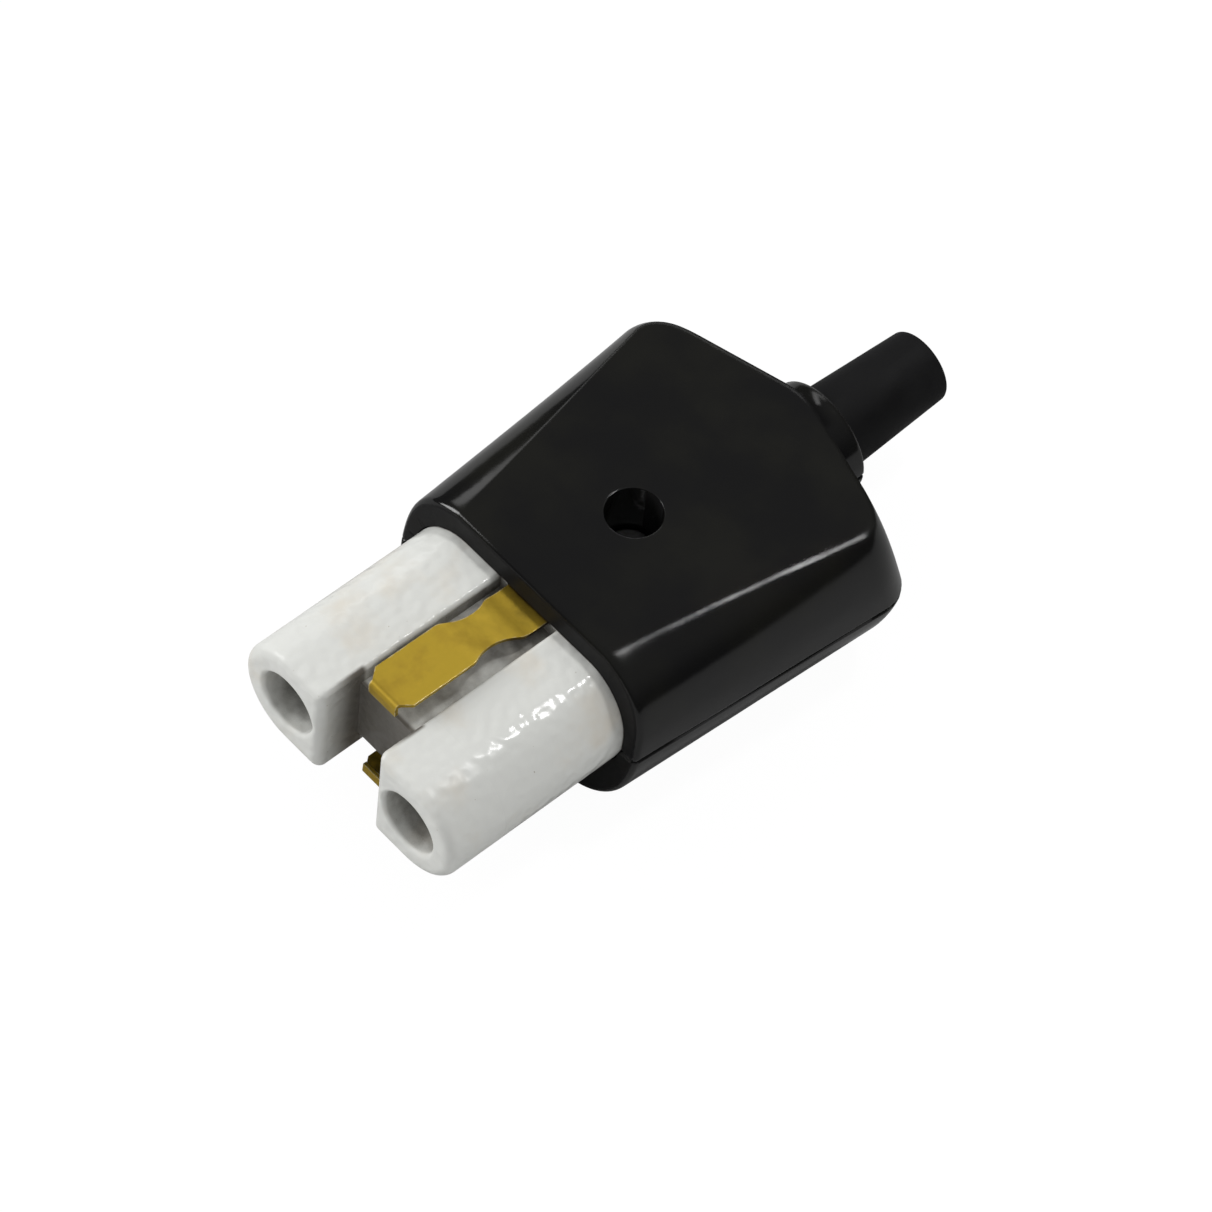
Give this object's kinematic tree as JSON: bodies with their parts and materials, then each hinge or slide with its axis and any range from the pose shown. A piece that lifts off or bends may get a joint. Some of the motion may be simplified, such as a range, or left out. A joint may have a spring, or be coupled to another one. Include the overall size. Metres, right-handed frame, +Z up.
{
  "type": "appliance plug",
  "caption": "Heat-proof appliance plug: white ceramic front with round pin sockets and brass earth springs, black screwed housing and a rubber cord sleeve.",
  "frame": {"origin": "centre of the bounding box in X and Y, at the flat underside of the lower housing in Z", "axes": "+Z up from the flat underside through the screw hole, +Y along the cord sleeve away from the ceramic towers, +X across the two sockets"},
  "size_m": [0.0422, 0.0822, 0.0217],
  "materials": {
    "housing": "glossy black moulded phenolic",
    "ceramic": "thin white glaze over fired porcelain",
    "brass": "rolled strip and turned rod, slightly tarnished",
    "spring_steel": "tempered strip",
    "screw_steel": "zinc plated",
    "rubber": "matte black",
    "fibre": "pressed fibre"
  },
  "bodies": {
    "root": {"upper_housing": "housing", "lower_housing": "housing", "ceramic_insert": "ceramic", "left_contact": "brass", "right_contact": "brass", "left_contact_ring": "spring_steel", "right_contact_ring": "spring_steel", "left_terminal_screw": "screw_steel", "right_terminal_screw": "screw_steel", "upper_earth_spring": "brass", "lower_earth_spring": "brass", "earth_strap": "brass", "earth_rivets": "brass", "earth_washer": "screw_steel", "earth_screw": "screw_steel", "earth_nut": "screw_steel", "housing_screw": "screw_steel", "housing_nut": "screw_steel", "cable_sleeve": "rubber", "cord_clamp": "fibre", "left_clamp_screw": "screw_steel", "right_clamp_screw": "screw_steel"}
  },
  "joints": []
}
